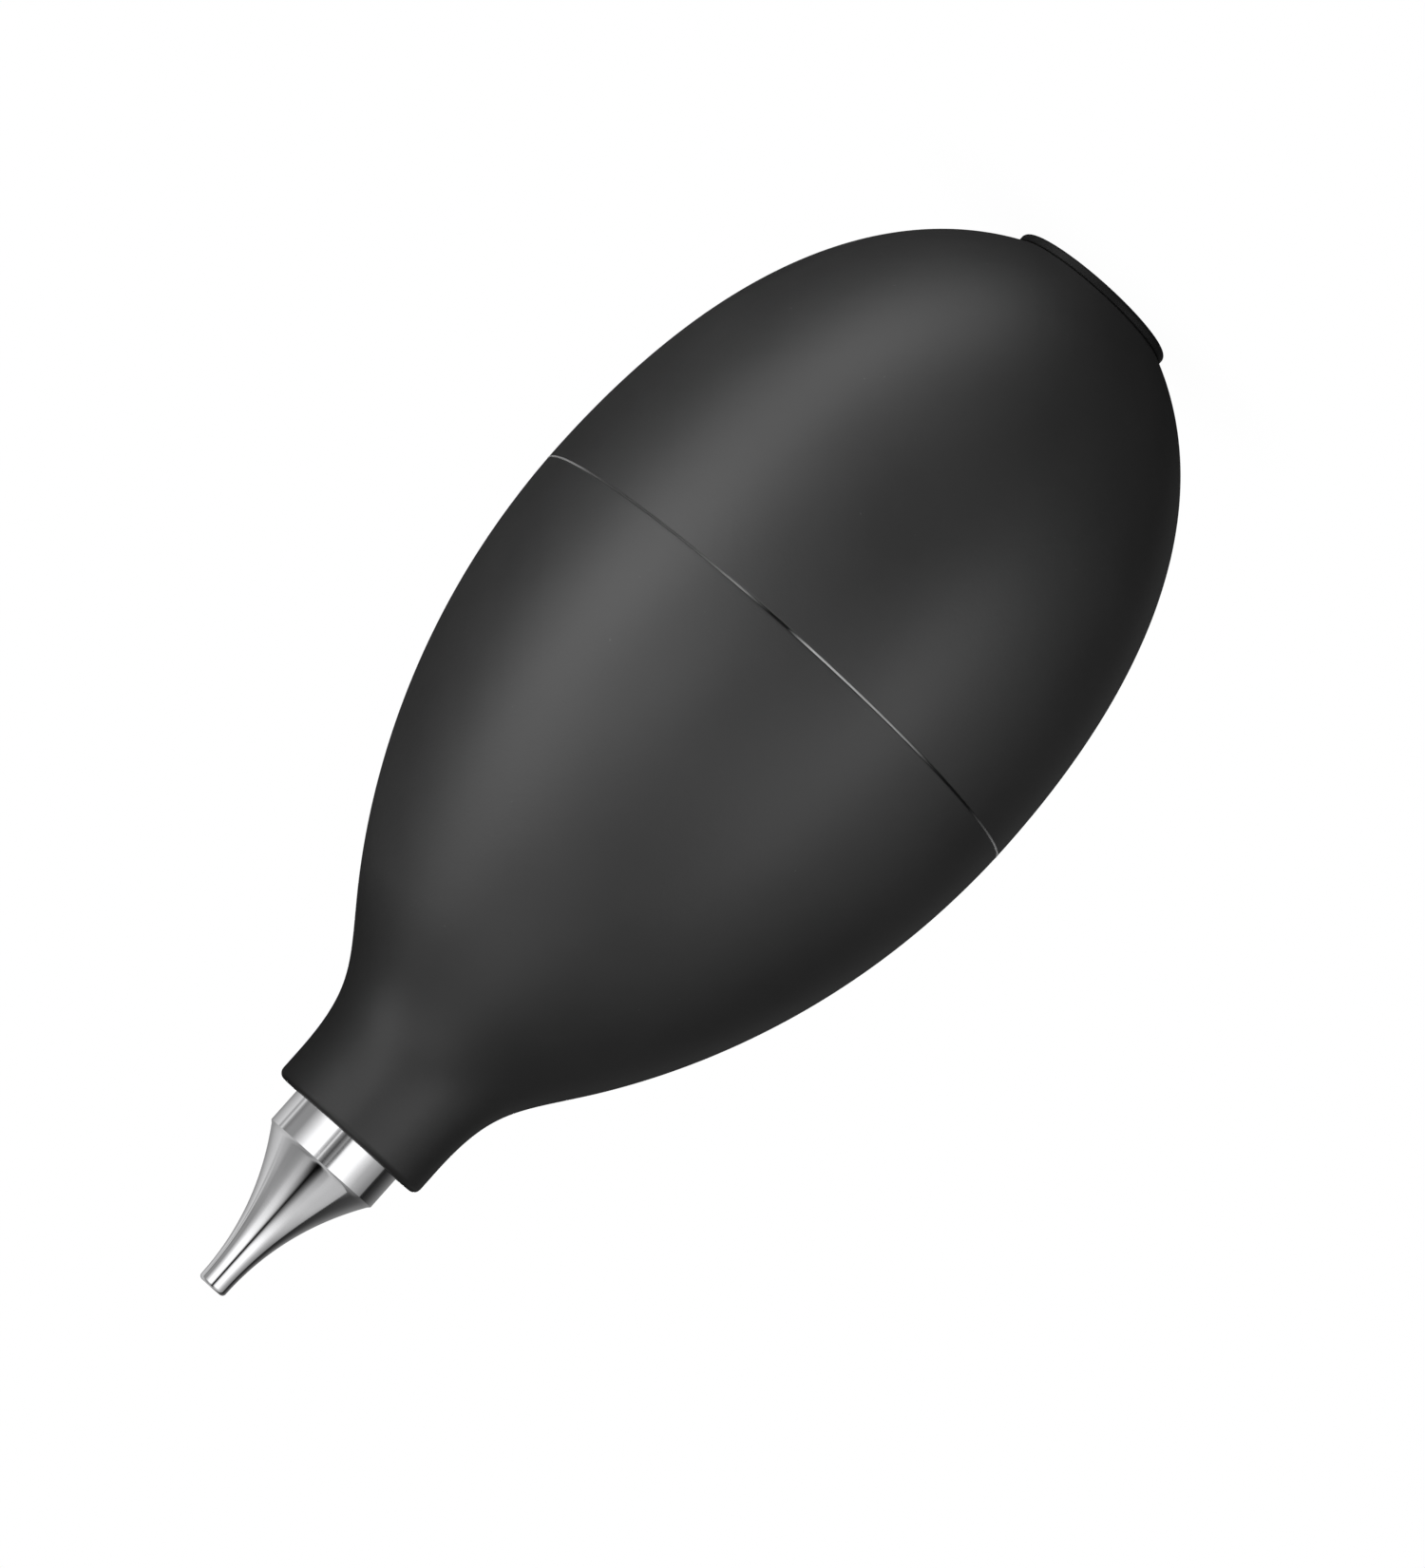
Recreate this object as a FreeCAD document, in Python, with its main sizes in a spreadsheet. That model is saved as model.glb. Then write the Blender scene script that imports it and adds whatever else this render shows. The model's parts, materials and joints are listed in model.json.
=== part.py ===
"""Dust blower bulb: an egg-shaped rubber bulb with a turned metal nozzle.

Millimetres. The blower stands upright on the disc of its air intake: the origin is the centre
of that disc's flat face and +Z runs along the axis to the nozzle's tip. Air comes in through
the disc past a sprung ball, and leaves through a second sprung ball and the nozzle's bore.
"""
import FreeCAD, Part
import os
import re
import Sketcher
from FreeCAD import Placement, Rotation, Vector

# Driving dimensions, heights counted from the intake disc's flat face.
DIMENSIONS = {
    # bulb outline
    "bulb_radius": 21.5,
    "widest_height": 33.97,
    "pole_radius": 4.916,
    "pole_rise": 3.15,
    "pole_spread": 8.32,
    "rear_handle": 21.31,
    "front_handle": 16.3,
    "flare_height": 67.6,
    "flare_radius": 10.8,
    "flare_slope": 0.73,
    "flare_lead": 5.8,
    "flare_trail": 4.13,
    "neck_start": 78.7,
    "neck_handle": 5.85,
    "neck_radius": 6.52,
    "neck_end": 80.8,
    "neck_edge": 0.6,
    # bulb wall and inside
    "wall": 2.0,
    "boss_face": 4.5,
    "boss_radius": 8.9,
    "boss_rise": 7.6,
    "boss_spread": 9.9,
    "rear_inner_handle": 6.5,
    "front_inner_handle": 11.2,
    "shoulder_height": 60.4,
    "shoulder_radius": 12.97,
    "shoulder_lead": 6.25,
    "shoulder_trail": 3.97,
    "shoulder_slope": 0.534,
    "neck_floor": 65.4,
    "neck_floor_radius": 7.0,
    "neck_floor_bend": 2.5,
    "seam_height": 35.2,
    "seam_groove": 0.13,
    # thumb panel
    "panel_height": 33.9,
    "panel_half_length": 13.0,
    "panel_half_width": 10.0,
    "panel_gap": 0.25,
    # intake plug
    "disc_radius": 6.74,
    "disc_thick": 0.6,
    "disc_edge": 0.35,
    "spigot_radius": 4.0,
    "socket_fit": 0.03,
    "spigot_end": 9.8,
    "barb_height": 1.5,
    "barb_reach": 0.8,
    "pocket_depth": 1.2,
    "intake_seat": 2.6,
    # valve details, the same at both ends
    "port_radius": 1.1,
    "chamber_radius": 2.4,
    "chamber_length": 6.0,
    "ball_radius": 1.8,
    "ball_seat_rise": 1.516,
    "keeper_radius": 2.95,
    "keeper_thick": 0.8,
    "keeper_fit": 0.05,
    "wire_radius": 0.13,
    "coil_radius": 1.1,
    "coil_on_ball": 1.7,
    "coil_clear": 0.03,
    # intake filter
    "mesh_thick": 0.3,
    "mesh_hole": 0.25,
    "ring_inner": 2.3,
    "ring_inset": 0.2,
    # neck bush
    "bush_radius": 4.6,
    "bush_end": 79.3,
    "bush_barb": 0.3,
    "bush_pitch": 3.2,
    "outlet_seat": 66.6,
    "lip_radius": 4.78,
    # nozzle
    "shank_end": 74.0,
    "collar_radius": 4.72,
    "collar_end": 83.5,
    "collar_bevel": 0.19,
    "taper_start_lean": 2.22,
    "taper_start_rise": 3.41,
    "taper_end_rise": 4.07,
    "tip_radius": 1.15,
    "tip_shoulder": 94.9,
    "tip_end": 95.2,
    "tip_bore": 0.55,
    "shank_bore": 1.5,
    "bore_step": 80.4,
    # nozzle seal
    "seal_radius": 2.52,
    "seal_section": 0.44,
    "seal_rise": 2.0,
    "seal_groove_radius": 2.05,
    "seal_groove_half": 0.5,
}

FULL_TURN = 360.0
KEEPER_PORTS = 6
MESH_RINGS = ((6, 0.85), (12, 1.75))
AXIS = "V_Axis"

doc = FreeCAD.newDocument("dust_blower")
sub_parts = []


def fill_sheet():
    """Write each driving dimension into the sheet as a named cell."""
    sheet = doc.addObject("Spreadsheet::Sheet", "Dims")
    for row, (alias, value) in enumerate(DIMENSIONS.items(), start=1):
        cell = "A%d" % row
        sheet.set(cell, str(value))
        sheet.setAlias(cell, alias)
    doc.recompute()


def bound(text):
    """Turn a sum of dimension names into an expression on the sheet."""
    return re.sub(r"[a-z][a-z_]+", lambda found: "Dims." + found.group(), text)


def keep(sub_part, label):
    """Name a finished sub-part and list it for export."""
    sub_part.Label = label
    sub_parts.append(sub_part)
    return sub_part


def set_height(item, height):
    """Lift an object along the axis to a height taken from the sheet."""
    item.setExpression("Placement.Base.z", bound(height))


# ---------------------------------------------------------------- sketches

def new_body(name):
    return doc.addObject("PartDesign::Body", name)


def new_sketch(body, name, role):
    """Add a sketch on one of the body's own origin planes."""
    sketch = body.newObject("Sketcher::SketchObject", name)
    plane = [item for item in body.Origin.OriginFeatures if item.Role == role][0]
    sketch.AttachmentSupport = [(plane, "")]
    sketch.MapMode = "FlatFace"
    return sketch


def pin_down(sketch, geometry, end, place):
    """Hold one point of a sketch at the two dimensions given."""
    for kind, text, axis in (("DistanceX", place[0], -2), ("DistanceY", place[1], -1)):
        if text == "0":
            sketch.addConstraint(Sketcher.Constraint("PointOnObject", geometry, end, axis))
            continue
        index = sketch.addConstraint(Sketcher.Constraint(kind, -1, 1, geometry, end, 1.0))
        sketch.setExpression("Constraints[%d]" % index, bound(text))


def add_curve(sketch, rough_poles, places):
    """Add a cubic curve whose four poles sit at the given places."""
    curve = Part.BSplineCurve()
    curve.buildFromPolesMultsKnots(rough_poles, [4, 4], [0, 1], False, 3)
    spline = sketch.addGeometry(curve, False)
    for order, pole in enumerate(rough_poles):
        marker = sketch.addGeometry(Part.Circle(pole, Vector(0, 0, 1), 1.0), True)
        align = "InternalAlignment:Sketcher::BSplineControlPoint"
        sketch.addConstraint(Sketcher.Constraint("Weight", marker, 1.0))
        sketch.addConstraint(Sketcher.Constraint(align, marker, 3, spline, order))
        pin_down(sketch, marker, 3, places[order])
    return spline


def add_outline(sketch, start, steps):
    """Draw a closed outline: a step is one corner, or two handles and a corner for a curve."""
    corner, rough = start, Vector(1, 1, 0)
    for order, step in enumerate(list(steps) + [start]):
        rough_next = Vector(1 + 7 * (order + 1), 1 + (order + 1) ** 2, 0)
        if len(step) == 3:
            reach = (rough_next - rough) / 3.0
            rough_poles = [rough, rough + reach, rough + 2 * reach, rough_next]
            add_curve(sketch, rough_poles, [corner] + list(step))
            corner = step[2]
        else:
            line = sketch.addGeometry(Part.LineSegment(rough, rough_next), False)
            pin_down(sketch, line, 1, corner)
            pin_down(sketch, line, 2, step)
            corner = step
        rough = rough_next


def turned(body, name, start, *steps):
    """Revolve an outline of (radius, height) corners about the body's Z axis."""
    sketch = new_sketch(body, name + "_outline", "XZ_Plane")
    add_outline(sketch, start, steps)
    doc.recompute()
    turn = body.newObject("PartDesign::Revolution", name + "_turn")
    turn.Profile = sketch
    turn.ReferenceAxis = (sketch, [AXIS])
    turn.Angle = FULL_TURN
    doc.recompute()
    return turn


def add_circle(sketch, radius, centre=("0", "0")):
    circle = sketch.addGeometry(Part.Circle(Vector(1, 1, 0), Vector(0, 0, 1), 1.0), False)
    if centre == ("0", "0"):
        sketch.addConstraint(Sketcher.Constraint("Coincident", circle, 3, -1, 1))
    else:
        pin_down(sketch, circle, 3, centre)
    index = sketch.addConstraint(Sketcher.Constraint("Radius", circle, 1.0))
    sketch.setExpression("Constraints[%d]" % index, bound(radius))


def flat_ring(body, name, outer, inner, thick):
    """Pad a flat ring from the body's base plane."""
    sketch = new_sketch(body, name + "_ring", "XY_Plane")
    add_circle(sketch, outer)
    add_circle(sketch, inner)
    pad = body.newObject("PartDesign::Pad", name + "_pad")
    pad.Profile = sketch
    pad.setExpression("Length", bound(thick))
    doc.recompute()
    return pad


def drilled_ring(body, name, radius, pitch_radius, count):
    """Drill a circle of through holes and return the pattern that holds them."""
    sketch = new_sketch(body, name + "_hole", "XY_Plane")
    add_circle(sketch, radius, (pitch_radius, "0"))
    pocket = body.newObject("PartDesign::Pocket", name + "_drill")
    pocket.Profile = sketch
    pocket.Type = "ThroughAll"
    pocket.Midplane = True
    doc.recompute()
    pattern = body.newObject("PartDesign::PolarPattern", name + "_circle")
    pattern.Originals = [pocket]
    pattern.Axis = (sketch, ["N_Axis"])
    pattern.Angle = FULL_TURN
    pattern.Occurrences = count
    body.Tip = pattern
    doc.recompute()
    return pattern


def round_edge(body, name, base, size, radius, height):
    """Round the circular edge found at a radius and a height."""
    tolerance = 1e-4
    for order, edge in enumerate(base.Shape.Edges, start=1):
        if not isinstance(edge.Curve, Part.Circle):
            continue
        same_radius = abs(edge.Curve.Radius - radius) < tolerance
        if same_radius and abs(edge.Curve.Center.z - height) < tolerance:
            fillet = body.newObject("PartDesign::Fillet", name)
            fillet.Base = (base, ["Edge%d" % order])
            fillet.setExpression("Radius", bound(size))
            doc.recompute()
            return fillet
    raise ValueError("no edge for " + name)


# ---------------------------------------------------------------- bulb

def make_bulb_wall():
    """The whole moulded wall, from the intake boss to the lip of the neck."""
    body = new_body("bulb_wall")
    socket = "spigot_radius + socket_fit"
    turned(
        body, "bulb_wall",
        (socket, "0"),
        ("pole_radius", "0"),
        (("pole_radius + pole_spread", "pole_rise"),
         ("bulb_radius", "widest_height - rear_handle"),
         ("bulb_radius", "widest_height")),
        (("bulb_radius", "widest_height + front_handle"),
         ("flare_radius + flare_lead * flare_slope", "flare_height - flare_lead"),
         ("flare_radius", "flare_height")),
        (("flare_radius - flare_trail * flare_slope", "flare_height + flare_trail"),
         ("neck_radius", "neck_start - neck_handle"),
         ("neck_radius", "neck_start")),
        ("neck_radius", "neck_end - neck_edge"),
        (("neck_radius", "neck_end - neck_edge * 0.45"),
         ("neck_radius - neck_edge * 0.45", "neck_end"),
         ("neck_radius - neck_edge", "neck_end")),
        ("lip_radius", "neck_end"),
        ("lip_radius", "bush_end"),
        ("bush_radius", "bush_end"),
        ("bush_radius", "neck_floor"),
        ("neck_floor_radius", "neck_floor"),
        (("neck_floor_radius + neck_floor_bend", "neck_floor"),
         ("shoulder_radius - shoulder_trail * shoulder_slope", "shoulder_height + shoulder_trail"),
         ("shoulder_radius", "shoulder_height")),
        (("shoulder_radius + shoulder_lead * shoulder_slope", "shoulder_height - shoulder_lead"),
         ("bulb_radius - wall", "widest_height + front_inner_handle"),
         ("bulb_radius - wall", "widest_height")),
        (("bulb_radius - wall", "widest_height - rear_inner_handle"),
         ("boss_radius + boss_spread", "boss_face + boss_rise"),
         ("boss_radius", "boss_face")),
        (socket, "boss_face"),
    )
    return body


def cylinder(name, radius, height, base):
    """An upright cylinder used to cut or to keep part of the bulb's wall."""
    item = doc.addObject("Part::Cylinder", name)
    item.setExpression("Radius", bound(radius))
    item.setExpression("Height", bound(height))
    set_height(item, base)
    return item


def panel_prism(name, margin):
    """An oval bar along Y, through the bulb's wall on its -Y side only."""
    oval = doc.addObject("Part::Ellipse", name + "_oval")
    oval.setExpression("MajorRadius", bound("panel_half_length" + margin))
    oval.setExpression("MinorRadius", bound("panel_half_width" + margin))
    upright = Rotation(Vector(1, 0, 0), 90).multiply(Rotation(Vector(0, 0, 1), 90))
    oval.Placement = Placement(Vector(0, 0, 0), upright)
    set_height(oval, "panel_height")
    bar = doc.addObject("Part::Extrusion", name)
    bar.Base = oval
    bar.DirMode = "Custom"
    bar.Dir = Vector(0, -1, 0)
    bar.setExpression("LengthFwd", bound("bulb_radius + wall"))
    bar.Solid = True
    return bar


def boolean(kind, name, base, tool):
    item = doc.addObject("Part::" + kind, name)
    item.Base = base
    item.Tool = tool
    return item


def make_bulb():
    """Split the wall into its two moulded halves and the panel that the thumb presses."""
    wall = make_bulb_wall()
    groove = doc.addObject("Part::Torus", "seam_groove")
    groove.setExpression("Radius1", bound("bulb_radius"))
    groove.setExpression("Radius2", bound("seam_groove"))
    set_height(groove, "seam_height")
    grooved = boolean("Cut", "grooved_wall", wall, groove)
    opened = boolean("Cut", "opened_wall", grooved, panel_prism("panel_hole", " + panel_gap"))

    width = "bulb_radius * 2"
    rear = cylinder("rear_zone", width, "seam_height - disc_thick", "disc_thick")
    front = cylinder("front_zone", width, "tip_end - seam_height", "seam_height")
    panel = panel_prism("panel_bar", "")
    keep(boolean("Common", "rear_shell", opened, rear), "bulb_rear_half")
    keep(boolean("Common", "front_shell", opened, front), "bulb_front_half")
    keep(boolean("Common", "pressed_wall", grooved, panel), "thumb_panel")


# ---------------------------------------------------------------- valves

def make_valve_plug():
    """The disc seen at the rear, with the spigot that holds the intake valve."""
    body = new_body("valve_plug")
    step = "intake_seat + chamber_length"
    base = turned(
        body, "valve_plug",
        ("keeper_radius + keeper_fit", "0"),
        ("disc_radius", "0"),
        ("disc_radius", "disc_thick"),
        ("spigot_radius", "disc_thick"),
        ("spigot_radius", "boss_face"),
        ("spigot_radius + barb_reach", "boss_face"),
        ("spigot_radius", "boss_face + barb_height"),
        ("spigot_radius", "spigot_end"),
        ("keeper_radius + keeper_fit", "spigot_end"),
        ("keeper_radius + keeper_fit", step),
        ("chamber_radius", step),
        ("chamber_radius", "intake_seat + chamber_radius - port_radius"),
        ("port_radius", "intake_seat"),
        ("port_radius", "pocket_depth"),
        ("keeper_radius + keeper_fit", "pocket_depth"),
    )
    size = DIMENSIONS["disc_radius"]
    rear = round_edge(body, "rear_rounding", base, "disc_edge", size, 0.0)
    round_edge(body, "front_rounding", rear, "disc_edge * 0.5", size, DIMENSIONS["disc_thick"])
    keep(body, "valve_plug")


def make_neck_bush():
    """The barbed brass sleeve in the neck, with the outlet valve's seat and nozzle's bore."""
    body = new_body("neck_bush")
    outline = [("port_radius", "neck_floor"), ("bush_radius", "neck_floor")]
    for barb in range(1, 4):
        foot = "neck_floor + bush_pitch * %d" % barb
        outline += [
            ("bush_radius", foot + " - bush_barb * 4"),
            ("bush_radius + bush_barb", foot),
            ("bush_radius", foot),
        ]
    step = "outlet_seat + chamber_length"
    outline += [
        ("bush_radius", "bush_end"),
        ("keeper_radius + keeper_fit", "bush_end"),
        ("keeper_radius + keeper_fit", step),
        ("chamber_radius", step),
        ("chamber_radius", "outlet_seat + chamber_radius - port_radius"),
        ("port_radius", "outlet_seat"),
    ]
    turned(body, "neck_bush", outline[0], *outline[1:])
    keep(body, "neck_bush")


def make_ball(name, seat):
    """A valve ball a hair above its 45-degree seat."""
    ball = doc.addObject("Part::Sphere", name)
    ball.setExpression("Radius", bound("ball_radius"))
    set_height(ball, seat + " + ball_seat_rise")
    keep(ball, name)


def make_spring(name, seat):
    """A sleeve as large as the coil spring between a ball and the disc that holds it in."""
    body = new_body(name)
    outer, inner = "coil_radius + wire_radius", "coil_radius - wire_radius"
    room = "chamber_length - ball_seat_rise - coil_on_ball + wire_radius - coil_clear"
    flat_ring(body, name, outer, inner, room)
    set_height(body, seat + " + ball_seat_rise + coil_on_ball - wire_radius")
    keep(body, name)


def make_keeper(name, seat):
    """The drilled disc that the spring pushes against."""
    body = new_body(name)
    flat_ring(body, name, "keeper_radius", "port_radius * 0.5", "keeper_thick")
    drilled_ring(body, name, "port_radius * 0.4", "chamber_radius * 0.8", KEEPER_PORTS)
    set_height(body, seat + " + chamber_length")
    keep(body, name)


def make_intake_filter():
    """The fine perforated disc that keeps dust out of the bulb."""
    body = new_body("intake_filter")
    flat_ring(body, "intake_filter", "keeper_radius", "mesh_hole", "mesh_thick")
    for count, pitch_radius in MESH_RINGS:
        drilled_ring(body, "mesh_%d" % count, "mesh_hole", str(pitch_radius), count)
    set_height(body, "pocket_depth - mesh_thick")
    keep(body, "intake_filter")


def make_filter_ring():
    """The snap ring that holds the filter in the disc."""
    body = new_body("filter_ring")
    height = "pocket_depth - mesh_thick - ring_inset"
    flat_ring(body, "filter_ring", "keeper_radius", "ring_inner", height)
    set_height(body, "ring_inset")
    keep(body, "filter_ring")


# ---------------------------------------------------------------- nozzle

def make_nozzle():
    """The turned nozzle: push-fit shank with a seal groove, collar and hollow-ground taper."""
    body = new_body("nozzle")
    root = "collar_radius - collar_bevel"
    tip_round = "tip_end - tip_shoulder"
    groove = "shank_end + seal_rise"
    turned(
        body, "nozzle",
        ("shank_bore", "shank_end"),
        ("keeper_radius", "shank_end"),
        ("keeper_radius", groove + " - seal_groove_half"),
        ("seal_groove_radius", groove + " - seal_groove_half"),
        ("seal_groove_radius", groove + " + seal_groove_half"),
        ("keeper_radius", groove + " + seal_groove_half"),
        ("keeper_radius", "bush_end"),
        ("collar_radius", "bush_end"),
        ("collar_radius", "collar_end"),
        (root, "collar_end + collar_bevel"),
        ((root + " - taper_start_lean", "collar_end + collar_bevel + taper_start_rise"),
         ("tip_radius", "tip_shoulder - taper_end_rise"),
         ("tip_radius", "tip_shoulder")),
        (("tip_radius", "tip_shoulder + (%s) * 0.55" % tip_round),
         ("tip_radius - (%s) * 0.45" % tip_round, "tip_end"),
         ("tip_radius - (%s)" % tip_round, "tip_end")),
        ("tip_bore", "tip_end"),
        ("tip_bore", "bore_step + shank_bore - tip_bore"),
        ("shank_bore", "bore_step"),
    )
    keep(body, "nozzle")


def make_nozzle_seal():
    """The sealing ring in the shank's groove, which grips the bush's bore."""
    ring = doc.addObject("Part::Torus", "nozzle_seal")
    ring.setExpression("Radius1", bound("seal_radius"))
    ring.setExpression("Radius2", bound("seal_section"))
    set_height(ring, "shank_end + seal_rise")
    keep(ring, "nozzle_seal")


# ---------------------------------------------------------------- build, check, write

def make_blower():
    fill_sheet()
    make_bulb()
    make_valve_plug()
    make_intake_filter()
    make_filter_ring()
    make_neck_bush()
    for end, seat in (("intake", "intake_seat"), ("outlet", "outlet_seat")):
        make_ball(end + "_ball", seat)
        make_spring(end + "_spring", seat)
        make_keeper(end + "_keeper", seat)
    make_nozzle()
    make_nozzle_seal()
    doc.recompute()


def check_blower():
    """Stop if any object failed or any sub-part isn't a sound solid."""
    for item in doc.Objects:
        if "Invalid" in item.State or "Error" in item.State:
            raise RuntimeError("failed: " + item.Name)
    for sub_part in sub_parts:
        shape = sub_part.Shape
        if shape.isNull() or not shape.isValid() or len(shape.Solids) != 1:
            raise RuntimeError("unsound shape: " + sub_part.Label)


def write_parts():
    os.makedirs("parts", exist_ok=True)
    for sub_part in sub_parts:
        sub_part.Shape.exportStep("parts/%s.step" % sub_part.Label)
        box = sub_part.Shape.BoundBox
        print("%-16s volume %8.1f  z %6.2f to %6.2f" % (
            sub_part.Label, sub_part.Shape.Volume, box.ZMin, box.ZMax))


make_blower()
check_blower()
write_parts()
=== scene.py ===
"""Dust blower bulb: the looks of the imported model, in metres, in the model's own frame.

The blower stands on its intake disc at the origin, with its nozzle up +Z and the thumb's side
towards -Y. Shapes are written in millimetres and scaled by MM. The camera and the lamps are placed
in metres.
"""
import json
import math

import bmesh
import bpy
from mathutils import Matrix, Vector

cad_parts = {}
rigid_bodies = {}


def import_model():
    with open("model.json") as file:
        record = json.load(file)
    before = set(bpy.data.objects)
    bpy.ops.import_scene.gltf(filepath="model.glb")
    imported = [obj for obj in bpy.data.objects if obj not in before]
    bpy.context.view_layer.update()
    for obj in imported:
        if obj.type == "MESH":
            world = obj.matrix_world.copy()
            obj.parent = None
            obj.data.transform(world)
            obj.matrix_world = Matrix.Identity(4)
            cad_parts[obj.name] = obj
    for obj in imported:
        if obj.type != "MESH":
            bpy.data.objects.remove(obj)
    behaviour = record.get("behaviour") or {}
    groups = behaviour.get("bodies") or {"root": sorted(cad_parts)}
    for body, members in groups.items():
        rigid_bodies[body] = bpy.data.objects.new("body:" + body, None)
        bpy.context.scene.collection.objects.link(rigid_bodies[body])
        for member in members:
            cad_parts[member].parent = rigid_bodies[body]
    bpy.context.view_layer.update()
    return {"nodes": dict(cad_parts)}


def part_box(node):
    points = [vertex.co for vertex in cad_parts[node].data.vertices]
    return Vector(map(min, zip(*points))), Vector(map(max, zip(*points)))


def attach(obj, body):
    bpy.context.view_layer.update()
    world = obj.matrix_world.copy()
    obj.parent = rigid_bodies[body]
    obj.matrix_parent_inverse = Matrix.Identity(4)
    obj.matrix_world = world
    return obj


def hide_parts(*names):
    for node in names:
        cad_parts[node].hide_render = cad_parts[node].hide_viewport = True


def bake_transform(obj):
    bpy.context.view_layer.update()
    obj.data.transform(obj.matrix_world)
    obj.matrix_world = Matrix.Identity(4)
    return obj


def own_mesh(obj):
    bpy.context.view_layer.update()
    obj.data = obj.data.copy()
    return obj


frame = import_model()

MM = 0.001
FULL_TURN = 2 * math.pi

# ---------------------------------------------------------------- places taken from the frame


def low(node):
    """Height of a node's lowest point, in mm."""
    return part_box(node)[0].z / MM


def high(node):
    """Height of a node's highest point, in mm."""
    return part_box(node)[1].z / MM


def reach(node):
    """Greatest distance of a node from the axis along X, in mm."""
    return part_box(node)[1].x / MM


def middle(node):
    """Height half-way between a node's lowest and highest points, in mm."""
    return (low(node) + high(node)) / 2


# Heights from the frame.
DISC_FRONT = low("bulb_rear_half")
SEAM = low("bulb_front_half")
NECK_FLOOR = low("neck_bush")
LIP_FLOOR = high("neck_bush")
NECK_END = high("bulb_front_half")
SHANK_END = low("nozzle")
TIP = high("nozzle")

# Heights and radii that the boxes of the nodes don't give.
WIDEST = 33.97
BOSS_FACE = 4.5
BULB_R = 21.5
WALL = 2.0
NECK_R = 6.52
NECK_FLOOR_R = 7.0
LIP_R = 4.78
BUSH_R = 4.6
SPIGOT_R = 4.0
COLLAR_R = 4.72
KEEPER_R = 2.95
DISC_R = reach("valve_plug")

# The small rounded corners and the hairline gap where the bulb's halves meet.
SEAM_CHAMFER = 0.14
SEAM_GAP = 0.01

# ---------------------------------------------------------------- outlines, as (radius, height)


def cubic(start, lead, trail, end, count):
    """Points along a cubic curve, without its first point."""
    points = []
    for step in range(1, count + 1):
        u = step / count
        v = 1 - u
        weights = (v ** 3, 3 * v * v * u, 3 * v * u * u, u ** 3)
        points.append(tuple(
            sum(w * p[axis] for w, p in zip(weights, (start, lead, trail, end)))
            for axis in (0, 1)))
    return points


def straight(start, end, count):
    """Evenly spaced points from start to end, without the first."""
    return [(start[0] + (end[0] - start[0]) * k / count,
             start[1] + (end[1] - start[1]) * k / count) for k in range(1, count + 1)]


def arc(centre, radius, first, last, count):
    """Points on a circle from one angle to another, in degrees, ends included."""
    points = []
    for step in range(count + 1):
        angle = math.radians(first + (last - first) * step / count)
        points.append((centre[0] + radius * math.cos(angle), centre[1] + radius * math.sin(angle)))
    return points


def bulb_outside():
    """The bulb's outer outline from the intake disc to the rounded end of the neck."""
    points = [(4.916, 0.0)]
    points += cubic(points[-1], (13.236, 3.15), (BULB_R, 12.66), (BULB_R, WIDEST), 96)
    points += cubic(points[-1], (BULB_R, 50.27), (15.03, 61.8), (10.8, 67.6), 96)
    points += cubic(points[-1], (7.79, 71.73), (NECK_R, 72.85), (NECK_R, 78.7), 40)
    return points


def bulb_inside():
    """The bulb's inner outline from the floor of the neck to the rear boss."""
    inner = BULB_R - WALL
    points = [(NECK_FLOOR_R, NECK_FLOOR)]
    points += cubic(points[-1], (9.5, NECK_FLOOR), (10.85, 64.37), (12.97, 60.4), 12)
    points += cubic(points[-1], (16.3, 54.15), (inner, 45.17), (inner, WIDEST), 40)
    points += cubic(points[-1], (inner, 27.47), (18.8, 12.1), (8.9, BOSS_FACE), 40)
    return points


def between(points, bottom, top):
    """The stretch of an outline between two heights, cut exactly at both."""
    kept = []
    for here, there in zip(points, points[1:]):
        for height in sorted((bottom, top), reverse=there[1] < here[1]):
            if min(here[1], there[1]) < height < max(here[1], there[1]):
                share = (height - here[1]) / (there[1] - here[1])
                kept.append((here[0] + (there[0] - here[0]) * share, height))
        if bottom <= there[1] <= top:
            kept.append(there)
    return kept


# ---------------------------------------------------------------- mesh code


def mesh_object(name, bm):
    """Turn a bmesh into an object of the scene."""
    mesh = bpy.data.meshes.new(name)
    bm.to_mesh(mesh)
    bm.free()
    item = bpy.data.objects.new(name, mesh)
    bpy.context.scene.collection.objects.link(item)
    return item


def add_mesh(name, bm, smooth_angle=32.0):
    """A piece of the blower, with smooth faces and crisp corners."""
    bmesh.ops.recalc_face_normals(bm, faces=bm.faces)
    item = mesh_object(name, bm)
    item.data.polygons.foreach_set("use_smooth", [True] * len(item.data.polygons))
    item.data.set_sharp_from_angle(angle=math.radians(smooth_angle))
    return item


def revolve_into(bm, outline, segments):
    """Spin a closed outline in mm about the Z axis."""
    rings = []
    for radius, height in outline:
        ring = []
        for k in range(segments):
            angle = FULL_TURN * k / segments
            ring.append(bm.verts.new(
                (radius * MM * math.cos(angle), radius * MM * math.sin(angle), height * MM)))
        rings.append(ring)
    for one, two in zip(rings, rings[1:] + rings[:1]):
        for k in range(segments):
            n = (k + 1) % segments
            bm.faces.new((one[k], one[n], two[n], two[k]))


def revolved(name, outline, segments, smooth_angle=32.0):
    """A turned piece from one outline."""
    bm = bmesh.new()
    revolve_into(bm, outline, segments)
    return add_mesh(name, bm, smooth_angle)


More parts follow.
